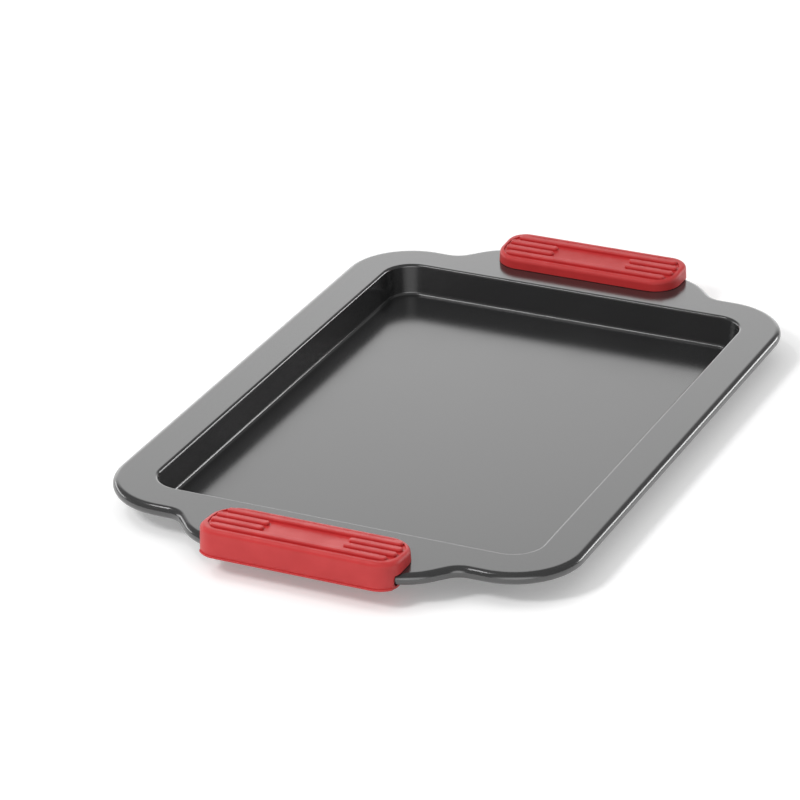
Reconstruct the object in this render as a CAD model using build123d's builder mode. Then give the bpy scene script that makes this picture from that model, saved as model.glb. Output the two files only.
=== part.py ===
"""Shallow non-stick baking tray with a rolled, wire-reinforced rim and two pull-off silicone grips.

Millimetres, +Z up. The origin is on the table under the middle of the tray's floor. X runs along the
tray, from one handle to the other.
"""
from build123d import *
from math import radians, sqrt, tan
import os

os.makedirs("parts", exist_ok=True)

# Driving dimensions of the pressed tray.
well_length = 330.0
well_width = 228.0
well_corner_radius = 17.5
tray_height = 20.0
sheet = 0.8
wall_draft = 4.0
floor_bend_radius = 2.0
mouth_bend_radius = 1.8
rim_width = 24.5
rim_corner_radius = 41.0

# The rolled edge and the wire that it is closed around.
bead_diameter = 7.0
curl_angle = 300.0
wire_clearance = 0.1

# The two handles: the rim steps outwards at each end, along a slope that turns by handle_turn. The
# shoulder is the straight edge between a corner of the rim and the foot of that slope.
handle_reach = 22.5
handle_shoulder = 14.2
handle_turn = 48.0
handle_tip_radius = 35.0
handle_root_radius = 12.5

# One silicone grip, which is pushed over a handle from outside and ends just short of its tip corners.
# Its top slopes down towards the well, and grip_height is the height at the middle of the top above the
# foot of the outer wall. That wall stands nearly upright, the ends and the wall at the well lean inwards.
grip_end_gap = 4.0
grip_outer_corner_radius = 12.5
grip_inner_corner_radius = 17.0
grip_height = 15.0
grip_top_slope = 3.6
grip_wall = 6.9
grip_setback = 8.0
grip_clearance = 0.3
grip_draft = 3.5
grip_outer_draft = 1.5
grip_edge_radius = 2.5
slot_end_trim = 2.5
flap_thickness = 1.3
flap_inset = 2.0
flap_setback = 12.0
flap_edge_radius = 0.6
lip_height = 1.2
lip_overhang = 0.5
lip_edge_radius = 0.35

# The ribbed field sunk into the top of each grip, and the widths of its border.
inner_border = 3.3
outer_border = 4.0
end_border = 2.9
field_corner_radius = 11.5
field_depth = 0.8
field_edge_radius = 0.4
ridge_count = 4
ridge_width = 4.4
ridge_side_gap = 1.85
ridge_height = 1.8
ridge_edge_radius = 0.9
ridge_end_gap = 0.9
plain_patch_length = 47.0

# Worked out from the sizes above.
bead_radius = bead_diameter / 2
bead_bore_radius = bead_radius - sheet
bead_axis_z = tray_height - bead_radius
rim_underside = tray_height - sheet
end_x = well_length / 2 + rim_width
side_y = well_width / 2 + rim_width
tip_x = end_x + handle_reach
root_corner_y = side_y - rim_corner_radius - handle_shoulder
tip_corner_y = root_corner_y - handle_reach / tan(radians(handle_turn))
draft_run = tan(radians(wall_draft)) * tray_height


def rim_outline(inset):
    """Closed outline of the tray seen from above, moved inwards by inset."""
    slope_shift = inset * tan(radians(handle_turn) / 2)
    tip = (tip_x - inset, tip_corner_y - slope_shift, handle_tip_radius - inset)
    root = (end_x - inset, root_corner_y - slope_shift, handle_root_radius + inset)
    corner = (end_x - inset, side_y - inset, rim_corner_radius - inset)
    right_back = [tip, root, corner]
    left_back = [(-x, y, r) for x, y, r in reversed(right_back)]
    left_front = [(-x, -y, r) for x, y, r in right_back]
    right_front = [(x, -y, r) for x, y, r in reversed(right_back)]
    bends = right_back + left_back + left_front + right_front
    return FilletPolyline(*[(x, y) for x, y, r in bends], radius=[r for x, y, r in bends], close=True)


def well_outline(height, wall):
    """Rounded rectangle of the well at a height above the table, grown outwards by wall."""
    growth = wall - draft_run * (tray_height - height) / tray_height
    RectangleRounded(well_length + 2 * growth, well_width + 2 * growth, well_corner_radius + growth)


# Centre line of the rolled edge, and a section plane across it: X outwards, Y up.
with BuildLine(Plane.XY.offset(bead_axis_z)) as bead_line:
    rim_outline(bead_radius)
bead_path = bead_line.wire()
along = bead_path % 0
outwards = along.cross(Vector(0, 0, 1))
bead_section = Plane(origin=bead_path @ 0, x_dir=outwards, z_dir=-along)

# The hollow of the well: drawn walls that lean outwards, with a bend all round the floor.
with BuildPart() as well_hollow:
    with BuildSketch(Plane.XY.offset(sheet)):
        well_outline(sheet, 0)
    extrude(amount=tray_height, taper=-wall_draft)
    fillet(well_hollow.edges().group_by(Axis.Z)[0], radius=floor_bend_radius)

# The tray: one steel pressing, with a flat rim all round and its edge curled under.
with BuildPart() as tray:
    with BuildSketch(Plane.XY.offset(rim_underside)):
        with BuildLine():
            rim_outline(bead_radius)
        make_face()
    extrude(amount=sheet)
    with BuildSketch(Plane.XY):
        well_outline(0, sheet)
    extrude(amount=rim_underside, taper=-wall_draft)
    fillet(tray.edges().group_by(Axis.Z)[0], radius=floor_bend_radius + sheet)
    rim_lower_face = tray.faces().filter_by(Axis.Z).group_by(Axis.Z)[-2]
    fillet(rim_lower_face.first.inner_wires().edges(), radius=mouth_bend_radius - sheet)

    add(well_hollow.part, mode=Mode.SUBTRACT)
    rim_upper_face = tray.faces().filter_by(Axis.Z).group_by(Axis.Z)[-1]
    fillet(rim_upper_face.first.inner_wires().edges(), radius=mouth_bend_radius)

    # The curl, from the rim's edge outwards, down, under and most of the way back up.
    with BuildSketch(bead_section) as curl:
        with BuildLine():
            outer = CenterArc((0, 0), bead_radius, 90, -curl_angle)
            inner = CenterArc((0, 0), bead_bore_radius, 90, -curl_angle)
            Line(outer @ 0, inner @ 0)
            Line(outer @ 1, inner @ 1)
        make_face()
    sweep(sections=curl.sketch, path=bead_path)
tray.part.label = "tray"
export_step(tray.part, "parts/tray.step")

# The steel wire that the edge is curled around, a closed ring hidden in the bead.
with BuildPart() as rim_wire:
    with BuildSketch(bead_section) as wire_section:
        Circle(bead_bore_radius - wire_clearance)
    sweep(sections=wire_section.sketch, path=bead_path)
rim_wire.part.label = "rim_wire"
export_step(rim_wire.part, "parts/rim_wire.step")

# Where a grip sits on its handle. Its slot is as high as the bead, and its outer wall ends level with
# the slot's underside.
pocket_radius = bead_radius + grip_clearance
pocket_axis_x = tip_x - bead_radius
grip_outer_x = pocket_axis_x + pocket_radius + grip_wall
grip_inner_x = end_x - grip_setback
grip_width = grip_outer_x - grip_inner_x
grip_length = 2 * (tip_corner_y - grip_end_gap)
foot = Vector((grip_outer_x + grip_inner_x) / 2, 0, bead_axis_z - pocket_radius)
foot_plane = Plane(origin=foot)
flap_nose_x = grip_inner_x + flap_setback + flap_thickness / 2
slot_end_y = grip_length / 2 - slot_end_trim

# The grip's top: each wall's draft draws it in from the foot. The ribbed field lies parallel to it.
draft_in = tan(radians(grip_draft)) * grip_height
outer_draft_in = tan(radians(grip_outer_draft)) * grip_height
top_width = grip_width - draft_in - outer_draft_in
top_length = grip_length - 2 * draft_in
top_middle = foot + Vector((draft_in - outer_draft_in) / 2, 0, grip_height)
top_plane = Plane(origin=top_middle).rotated((0, -grip_top_slope, 0))
field_width = top_width - inner_border - outer_border
field_length = top_length - 2 * end_border
field_middle = top_plane.from_local_coords(Vector((inner_border - outer_border) / 2, 0, -field_depth))
field_plane = Plane(origin=field_middle, x_dir=top_plane.x_dir, z_dir=top_plane.z_dir)
ridge_pitch = (field_width - 2 * ridge_side_gap - ridge_width) / (ridge_count - 1)
ridge_offsets = [(i - (ridge_count - 1) / 2) * ridge_pitch for i in range(ridge_count)]


def grip_outline(width, length, growth):
    """Closed outline round the grip's middle, whose corners are those of the foot grown by growth."""
    outer_corner = (width / 2, length / 2, grip_outer_corner_radius + growth)
    inner_corner = (-width / 2, length / 2, grip_inner_corner_radius + growth)
    back = [outer_corner, inner_corner]
    front = [(x, -y, r) for x, y, r in reversed(back)]
    bends = back + front
    return FilletPolyline(*[(x, y) for x, y, r in bends], radius=[r for x, y, r in bends], close=True)


def ridge_half_length(offset):
    """Half length of a ridge at a distance across the field, short of the field's rounded end."""
    into_corner = max(0, abs(offset) - (field_width / 2 - field_corner_radius))
    corner_rise = sqrt(field_corner_radius**2 - into_corner**2)
    return field_length / 2 - field_corner_radius + corner_rise - ridge_end_gap


# The ridges, on a level field. The outer two run its whole length, the others leave a plain patch.
with BuildPart() as ridges:
    with BuildSketch(Plane.XY):
        for offset in ridge_offsets:
            half = ridge_half_length(offset)
            spans = [(-half, half)]
            if abs(offset) < max(ridge_offsets):
                spans = [(-half, -plain_patch_length / 2), (plain_patch_length / 2, half)]
            for start, stop in spans:
                with Locations((offset, (start + stop) / 2)):
                    SlotOverall(stop - start, ridge_width, rotation=90)
    extrude(amount=ridge_height)
    fillet(ridges.edges().group_by(Axis.Z)[-1], radius=ridge_edge_radius)

# One grip, on the handle at +X: a moulded block with a thin lip round its foot, a ribbed field sunk into
# its top, a slot for the handle that is open towards the tray, and a flap under the bead.
with BuildPart() as right_grip:
    with BuildSketch(foot_plane):
        with BuildLine():
            grip_outline(grip_width, grip_length, 0)
        make_face()
    with BuildSketch(top_plane):
        with BuildLine():
            grip_outline(top_width, top_length, -draft_in)
        make_face()
    loft(ruled=True)
    fillet(right_grip.faces().filter_by(top_plane).edges(), radius=grip_edge_radius)
    with BuildSketch(foot_plane):
        with BuildLine():
            grip_outline(grip_width + 2 * lip_overhang, grip_length + 2 * lip_overhang, lip_overhang)
        make_face()
    extrude(amount=lip_height)
    fillet(right_grip.edges().group_by(Axis.Z)[0], radius=lip_edge_radius)

    # The sunk field with its ridges.
    with BuildSketch(field_plane):
        RectangleRounded(field_width, field_length, field_corner_radius)
    extrude(amount=field_depth, mode=Mode.SUBTRACT)
    top_border = right_grip.faces().filter_by(top_plane).sort_by(Axis.Z)[-1]
    fillet(top_border.inner_wires().edges(), radius=field_edge_radius)
    with Locations(field_plane):
        add(ridges.part)

    # The flap, which stands back from the outer wall and is rounded below.
    with BuildSketch(foot_plane.offset(-flap_thickness)):
        with BuildLine():
            grip_outline(grip_width - 2 * flap_inset, grip_length - 2 * flap_inset, -flap_inset)
        make_face()
    extrude(amount=flap_thickness + pocket_radius)
    fillet(right_grip.edges().group_by(Axis.Z)[0], radius=flap_edge_radius)

    # The slot, round at its closed side. The flap stops short of the block towards the tray, with a
    # round nose.
    with BuildSketch(Plane.XZ):
        with Locations((pocket_axis_x, bead_axis_z)):
            Circle(pocket_radius)
            Rectangle(grip_width, 2 * pocket_radius, align=(Align.MAX, Align.CENTER))
        with Locations((flap_nose_x, foot.Z - flap_thickness / 2)):
            Rectangle(grip_width, flap_thickness, align=(Align.MAX, Align.CENTER))
            Circle(flap_thickness / 2, mode=Mode.SUBTRACT)
    extrude(amount=grip_length, both=True, mode=Mode.SUBTRACT)

    # Up to the slot's upper side, the outer wall and the flap end short of the block above them.
    with BuildSketch(foot_plane.offset(2 * pocket_radius)):
        with Locations((0, slot_end_y)):
            Rectangle(2 * grip_width, grip_length, align=(Align.CENTER, Align.MIN))
        with Locations((0, -slot_end_y)):
            Rectangle(2 * grip_width, grip_length, align=(Align.CENTER, Align.MAX))
    extrude(amount=-2 * grip_height, mode=Mode.SUBTRACT)
right_grip.part.label = "right_grip"
export_step(right_grip.part, "parts/right_grip.step")

# The other grip is the same moulding turned half a turn.
with BuildPart() as left_grip:
    add(right_grip.part, rotation=(0, 0, 180))
left_grip.part.label = "left_grip"
export_step(left_grip.part, "parts/left_grip.step")
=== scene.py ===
"""Looks of a shallow non-stick baking tray with a rolled rim and two red silicone grips."""
import math

import bmesh
import bpy
from mathutils import Matrix, Vector


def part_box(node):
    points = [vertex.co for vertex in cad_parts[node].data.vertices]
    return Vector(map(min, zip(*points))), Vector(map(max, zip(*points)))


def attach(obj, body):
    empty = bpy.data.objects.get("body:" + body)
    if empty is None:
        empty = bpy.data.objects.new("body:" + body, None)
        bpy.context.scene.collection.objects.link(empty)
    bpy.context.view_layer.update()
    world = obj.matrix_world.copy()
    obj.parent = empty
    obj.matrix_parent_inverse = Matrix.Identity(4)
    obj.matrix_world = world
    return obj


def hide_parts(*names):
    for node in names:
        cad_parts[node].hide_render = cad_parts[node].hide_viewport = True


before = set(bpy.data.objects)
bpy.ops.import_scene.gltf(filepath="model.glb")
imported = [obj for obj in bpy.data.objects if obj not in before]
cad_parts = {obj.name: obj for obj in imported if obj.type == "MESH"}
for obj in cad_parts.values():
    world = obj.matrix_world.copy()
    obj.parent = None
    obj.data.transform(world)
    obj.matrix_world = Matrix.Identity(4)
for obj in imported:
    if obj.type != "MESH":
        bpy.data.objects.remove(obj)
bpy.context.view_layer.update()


# The camera: a long lens in front and to the left of the tray, about 25 degrees above the floor.
# It looks at a point of the floor a little behind the tray's middle, and is tilted very slightly.
mm = 0.001
view_azimuth = -155.185
view_elevation = 25.34
view_tilt = math.radians(-0.741)
view_distance = 2398.04 * mm
looked_at = Vector((23.194, 47.626, 0)) * mm
lens_pixels = 4128.17
picture_pixels = 800
sensor_width = 36


def direction_at(azimuth, elevation):
    """The direction from the tray's middle at two angles in degrees: round from +X, and up."""
    turn = math.radians(azimuth)
    rise = math.radians(elevation)
    return Vector((
        math.cos(turn) * math.cos(rise),
        math.sin(turn) * math.cos(rise),
        math.sin(rise),
    ))


towards_camera = direction_at(view_azimuth, view_elevation)
level_right = direction_at(view_azimuth + 90, 0)
level_up = towards_camera.cross(level_right)
picture_right = level_right * math.cos(view_tilt) + level_up * math.sin(view_tilt)
picture_up = level_up * math.cos(view_tilt) - level_right * math.sin(view_tilt)
camera_data = bpy.data.cameras.new("camera")
camera_data.sensor_width = sensor_width
camera_data.lens = lens_pixels / picture_pixels * sensor_width
camera = bpy.data.objects.new("camera", camera_data)
camera_turn = Matrix((picture_right, picture_up, towards_camera)).transposed().to_4x4()
camera.matrix_world = Matrix.Translation(looked_at + towards_camera * view_distance) @ camera_turn
bpy.context.scene.collection.objects.link(camera)
bpy.context.scene.camera = camera


# The tray: one pressing of sheet steel with a dark satin non-stick coating, inside and out. Its
# walls are drawn down from a flat rim, which steps out into a handle at each short end, and the
# rim's outer edge is curled under into a bead.
sheet = 0.8 * mm
wall_draft = math.radians(4)
mouth_bend = 1.8 * mm
floor_bend = 2.0 * mm
well_half_length = 165 * mm
well_half_width = 114 * mm
well_corner = 17.5 * mm
rim_corner = 41 * mm
bead_radius = 3.5 * mm
curl_angle = math.radians(300)
handle_reach = 22.5 * mm
handle_shoulder = 14.2 * mm
handle_turn = math.radians(48)
handle_tip = 35 * mm
handle_root = 12.5 * mm
flat_strip = 0.8 * mm
hair = 0.001 * mm
quarter_turn = math.pi / 2
curl_steps = 40
tip_steps = 24
root_steps = 18
corner_steps = 40
bend_steps = 12

_, tray_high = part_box("tray")
rim_top = tray_high.z
tip_x = tray_high.x
side_y = tray_high.y
end_x = tip_x - handle_reach


def draw_section(bm, start, strokes):
    """Draws a section in the plane y = 0. A stroke is a step to a point, or a turn about one."""
    vertex = bm.verts.new(start)
    for kind, point, *turn in strokes:
        if kind == "step":
            vertex = bmesh.ops.extrude_vert_indiv(bm, verts=[vertex])["verts"][0]
            vertex.co = point
        else:
            angle, steps = turn
            spun = bmesh.ops.spin(
                bm, geom=[vertex], cent=point, axis=(0, 1, 0), angle=angle, steps=steps
            )
            vertex = next(g for g in spun["geom_last"] if isinstance(g, bmesh.types.BMVert))


def carry_section(bm, position, moves):
    """Carries what is drawn so far, square to +Y, along runs and bends. A turn above 0 is left."""
    heading = 0.0
    position = Vector(position)
    verts = bm.verts[:]
    edges = bm.edges[:]
    for kind, amount, *bend in moves:
        forwards = Vector((-math.sin(heading), math.cos(heading), 0))
        leftwards = Vector((-math.cos(heading), -math.sin(heading), 0))
        if kind == "run":
            grown = bmesh.ops.extrude_edge_only(bm, edges=edges)["geom"]
            verts = [g for g in grown if isinstance(g, bmesh.types.BMVert)]
            edges = [g for g in grown if isinstance(g, bmesh.types.BMEdge)]
            bmesh.ops.translate(bm, verts=verts, vec=forwards * amount)
            position += forwards * amount
        else:
            turn, steps = bend
            centre = position + leftwards * amount * math.copysign(1, turn)
            spun = bmesh.ops.spin(
                bm, geom=verts + edges, cent=centre, axis=(0, 0, 1), angle=turn, steps=steps
            )
            verts = [g for g in spun["geom_last"] if isinstance(g, bmesh.types.BMVert)]
            edges = [g for g in spun["geom_last"] if isinstance(g, bmesh.types.BMEdge)]
            position = centre + Matrix.Rotation(turn, 3, "Z") @ (position - centre)
            heading += turn


def mirror_quarter(bm):
    """Mirrors a quarter of the tray to the other three and joins them."""
    for axis in ("X", "Y"):
        everything = bm.verts[:] + bm.edges[:] + bm.faces[:]
        bmesh.ops.mirror(bm, geom=everything, merge_dist=hair, axis=axis)
    bmesh.ops.remove_doubles(bm, verts=bm.verts[:], dist=hair)


def fill_level(bm, height):
    """Fills the flat region between the open edges at one height."""
    open_edges = [
        edge for edge in bm.edges
        if edge.is_boundary and all(abs(vert.co.z - height) < hair for vert in edge.verts)
    ]
    bmesh.ops.triangle_fill(bm, edges=open_edges, use_beauty=True, normal=(0, 0, 1))


def add_ramp(tree, value, low, high, marks=(0, 1)):
    """Runs from low to high, numbers or sockets, while the value runs between the two marks."""
    ramp = tree.nodes.new("ShaderNodeMapRange")
    sockets = ("From Min", "From Max", "To Min", "To Max")
    for socket, setting in zip(sockets, (*marks, low, high)):
        if isinstance(setting, bpy.types.NodeSocket):
            tree.links.new(setting, ramp.inputs[socket])
        else:
            ramp.inputs[socket].default_value = setting
    tree.links.new(value, ramp.inputs["Value"])
    return ramp.outputs["Result"]


def make_finish(name, colours, roughness, patch_size, grain_size, grain_height):
    """A material whose colour and roughness drift from patch to patch, with a grain in relief."""
    material = bpy.data.materials.new(name)
    material.use_nodes = True
    tree = material.node_tree
    nodes = tree.nodes
    link = tree.links.new
    shader = nodes["Principled BSDF"]
    place = nodes.new("ShaderNodeTexCoord")

    patches = nodes.new("ShaderNodeTexNoise")
    patches.inputs["Scale"].default_value = 1 / patch_size
    patches.inputs["Detail"].default_value = patch_detail
    link(place.outputs["Object"], patches.inputs["Vector"])
    tint = nodes.new("ShaderNodeValToRGB")
    for stop, position, colour in zip(tint.color_ramp.elements, patch_range, colours):
        stop.position = position
        stop.color = (*colour, 1)
    link(patches.outputs["Fac"], tint.inputs["Fac"])
    link(tint.outputs["Color"], shader.inputs["Base Color"])
    dulling = add_ramp(tree, patches.outputs["Fac"], *roughness, marks=patch_range)
    link(dulling, shader.inputs["Roughness"])

    grain = nodes.new("ShaderNodeTexNoise")
    grain.inputs["Scale"].default_value = 1 / grain_size
    link(place.outputs["Object"], grain.inputs["Vector"])
    relief = nodes.new("ShaderNodeBump")
    relief.inputs["Distance"].default_value = grain_height
    link(grain.outputs["Fac"], relief.inputs["Height"])
    link(relief.outputs["Normal"], shader.inputs["Normal"])
    return material, shader


patch_detail = 4
patch_range = (0.35, 0.65)
coating_refraction = 1.9
coating, coating_shader = make_finish(
    "nonstick_coating",
    colours=((0.019, 0.0192, 0.0195), (0.022, 0.0222, 0.0225)), roughness=(0.17, 0.19),
    patch_size=45 * mm, grain_size=0.5 * mm, grain_height=0.0004 * mm,
)
coating_shader.inputs["IOR"].default_value = coating_refraction

# The rolled edge, carried round a quarter of the rim from the middle of the handle.
rolled_edge = bmesh.new()
curl_x = tip_x - bead_radius
draw_section(rolled_edge, (curl_x - flat_strip, 0, rim_top), [
    ("step", (curl_x, 0, rim_top)),
    ("turn", (curl_x, 0, rim_top - bead_radius), curl_angle, curl_steps),
])
slope_length = handle_reach / math.sin(handle_turn)
root_y = side_y - rim_corner - handle_shoulder
tip_y = root_y - handle_reach / math.tan(handle_turn)
tip_setback = handle_tip * math.tan(handle_turn / 2)
root_setback = handle_root * math.tan(handle_turn / 2)
carry_section(rolled_edge, (tip_x, 0, 0), [
    ("run", tip_y - tip_setback),
    ("bend", handle_tip, handle_turn, tip_steps),
    ("run", slope_length - tip_setback - root_setback),
    ("bend", handle_root, -handle_turn, root_steps),
    ("run", handle_shoulder - root_setback),
    ("bend", rim_corner, quarter_turn, corner_steps),
    ("run", end_x - rim_corner),
])

# The well: mouth bend, drawn wall and floor bend, carried round a quarter of the mouth.
well = bmesh.new()
bend_angle = quarter_turn - wall_draft
bend_setback = math.tan(bend_angle / 2)
mouth_x = well_half_length + mouth_bend * bend_setback
mouth_centre = Vector((mouth_x, 0, rim_top - mouth_bend))
wall_inset = (rim_top - sheet) * math.tan(wall_draft)
floor_x = well_half_length - wall_inset - floor_bend * bend_setback
floor_centre = Vector((floor_x, 0, sheet + floor_bend))
into_metal = Vector((math.cos(wall_draft), 0, -math.sin(wall_draft)))
draw_section(well, (mouth_x + flat_strip, 0, rim_top), [
    ("step", (mouth_x, 0, rim_top)),
    ("turn", mouth_centre, -bend_angle, bend_steps),
    ("step", floor_centre + into_metal * floor_bend),
    ("turn", floor_centre, bend_angle, bend_steps),
    ("step", (floor_x - flat_strip, 0, sheet)),
])
carry_section(well, (well_half_length, 0, 0), [
    ("run", well_half_width - well_corner),
    ("bend", well_corner, quarter_turn, corner_steps),
    ("run", well_half_length - well_corner),
])

# The pressing: both sections mirrored to the full tray, with the flat rim and the floor between
# them filled. The faces stand for the upper side of the sheet, whose thickness lies below them.
tray_mesh = bmesh.new()
for quarter in (rolled_edge, well):
    mirror_quarter(quarter)
    part_mesh = bpy.data.meshes.new("quarter")
    quarter.to_mesh(part_mesh)
    quarter.free()
    tray_mesh.from_mesh(part_mesh)
    bpy.data.meshes.remove(part_mesh)
for level in (rim_top, sheet):
    fill_level(tray_mesh, level)
bmesh.ops.recalc_face_normals(tray_mesh, faces=tray_mesh.faces[:])
floor_face = min(tray_mesh.faces, key=lambda face: abs(face.calc_center_median().z - sheet))
if floor_face.normal.z < 0:
    bmesh.ops.reverse_faces(tray_mesh, faces=tray_mesh.faces[:])
for face in tray_mesh.faces:
    face.smooth = True
pressing = bpy.data.meshes.new("baking_tray")
tray_mesh.to_mesh(pressing)
tray_mesh.free()
pressing.materials.append(coating)
tray = bpy.data.objects.new("baking_tray", pressing)
bpy.context.scene.collection.objects.link(tray)
wall = tray.modifiers.new("sheet", "SOLIDIFY")
wall.thickness = sheet
wall.offset = -1
wall.use_even_offset = True
weighted = tray.modifiers.new("flat_faces_stay_flat", "WEIGHTED_NORMAL")
weighted.keep_sharp = True
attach(tray, "pan")
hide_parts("tray")


# The rim wire: a closed ring of plain drawn steel, which the tray's edge is curled around. It lies
# hidden in the bead, and its CAD solid is shown as it is.
def show_node(name, material):
    """Puts a finish on a CAD node that is shown as it is."""
    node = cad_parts[name]
    node.data.materials.clear()
    node.data.materials.append(material)


wire_steel, wire_shader = make_finish(
    "bare_wire", colours=((0.55, 0.55, 0.56), (0.47, 0.47, 0.48)), roughness=(0.30, 0.42),
    patch_size=9 * mm, grain_size=0.3 * mm, grain_height=0.006 * mm,
)
wire_shader.inputs["Metallic"].default_value = 1
show_node("rim_wire", wire_steel)


# The grips: two identical mouldings of matt red silicone, each with a ribbed field sunk into its
# sloping top, a thin lip round its foot and a slot for the rolled edge. They are pushed over the
# handles from outside, and their CAD solids are shown as they are.
silicone, _ = make_finish(
    "red_silicone", colours=((0.52, 0.029, 0.030), (0.48, 0.025, 0.026)), roughness=(0.43, 0.51),
    patch_size=14 * mm, grain_size=0.35 * mm, grain_height=0.012 * mm,
)
for name in ("left_grip", "right_grip"):
    show_node(name, silicone)


# The stage: four soft boxes, a white background and a white floor, none of them part of the tray.
# The key stands in front to the left and casts the shadow, and its mirror image is kept off the
# gloss. The strip over the tray and the box low at either side draw the streaks along the bead.
def place_lamp(name, azimuth, elevation, distance, size, radiance):
    """A soft box seen in one direction from the tray's middle, facing it, with its radiance."""
    direction = direction_at(azimuth, elevation)
    lamp_data = bpy.data.lights.new(name, "AREA")
    lamp_data.shape = "RECTANGLE"
    lamp_data.size, lamp_data.size_y = size
    lamp_data.energy = radiance * math.pi * size[0] * size[1]
    lamp = bpy.data.objects.new(name, lamp_data)
    lamp.location = direction * distance
    lamp.rotation_euler = direction.to_track_quat("Z", "Y").to_euler()
    bpy.context.scene.collection.objects.link(lamp)
    return lamp


key = place_lamp(
    "key_soft_box", azimuth=153, elevation=44, distance=2.1, size=(0.4, 0.4), radiance=34
)
key.visible_glossy = False
place_lamp(
    "overhead_strip", azimuth=122, elevation=63, distance=2.0, size=(0.9, 0.2), radiance=9
)
place_lamp(
    "right_soft_box", azimuth=-38, elevation=9, distance=2.5, size=(1.4, 0.4), radiance=7
)
place_lamp(
    "left_soft_box", azimuth=82, elevation=12, distance=2.5, size=(1.8, 0.5), radiance=3
)

# The background: white to the camera, and a soft sky to matt surfaces. Gloss mirrors a backdrop
# instead, brighter than white, behind the tray and also in front, for the views from behind.
horizon_strength = 0.35
zenith_strength = 0.85
white_strength = 1
backdrop_azimuth = 27
backdrop_edge = (0.78, 0.95)
backdrop_strength = (0.28, 2.3)
world = bpy.data.worlds.new("white_studio")
world.use_nodes = True
bpy.context.scene.world = world
sky = world.node_tree
sky_direction = sky.nodes.new("ShaderNodeTexCoord").outputs["Generated"]
ray = sky.nodes.new("ShaderNodeLightPath")
sky_height = sky.nodes.new("ShaderNodeSeparateXYZ")
sky.links.new(sky_direction, sky_height.inputs["Vector"])
soft_light = add_ramp(sky, sky_height.outputs["Z"], horizon_strength, zenith_strength)
towards_backdrop = sky.nodes.new("ShaderNodeVectorMath")
towards_backdrop.operation = "DOT_PRODUCT"
towards_backdrop.inputs[1].default_value = direction_at(backdrop_azimuth, 0)
sky.links.new(sky_direction, towards_backdrop.inputs[0])
either_way = sky.nodes.new("ShaderNodeMath")
either_way.operation = "ABSOLUTE"
sky.links.new(towards_backdrop.outputs["Value"], either_way.inputs[0])
backdrop = add_ramp(sky, either_way.outputs["Value"], *backdrop_strength, marks=backdrop_edge)
lighting = add_ramp(sky, ray.outputs["Is Glossy Ray"], soft_light, backdrop)
strength = add_ramp(sky, ray.outputs["Is Camera Ray"], lighting, white_strength)
background = sky.nodes["Background"]
background.inputs["Color"].default_value = (1, 1, 1, 1)
sky.links.new(strength, background.inputs["Strength"])

# The floor: pale, with a weak glow that brings it to white for the camera and in the gloss. The
# glow lights nothing matt, and the tray's shadow stays on it.
floor_width = 12000 * mm
floor_colour = (0.82, 0.82, 0.82, 1)
floor_roughness = 0.9
floor_glow = 0.25
bpy.ops.mesh.primitive_plane_add(size=floor_width)
floor = bpy.context.object
floor.name = "floor"
floor_material = bpy.data.materials.new("floor_white")
floor_material.use_nodes = True
floor_tree = floor_material.node_tree
floor_shader = floor_tree.nodes["Principled BSDF"]
floor_shader.inputs["Base Color"].default_value = floor_colour
floor_shader.inputs["Roughness"].default_value = floor_roughness
floor_shader.inputs["Emission Color"].default_value = (1, 1, 1, 1)
floor_ray = floor_tree.nodes.new("ShaderNodeLightPath")
glow = add_ramp(floor_tree, floor_ray.outputs["Is Diffuse Ray"], floor_glow, 0)
floor_tree.links.new(glow, floor_shader.inputs["Emission Strength"])
floor.data.materials.append(floor_material)

bpy.context.scene.view_settings.view_transform = "Standard"
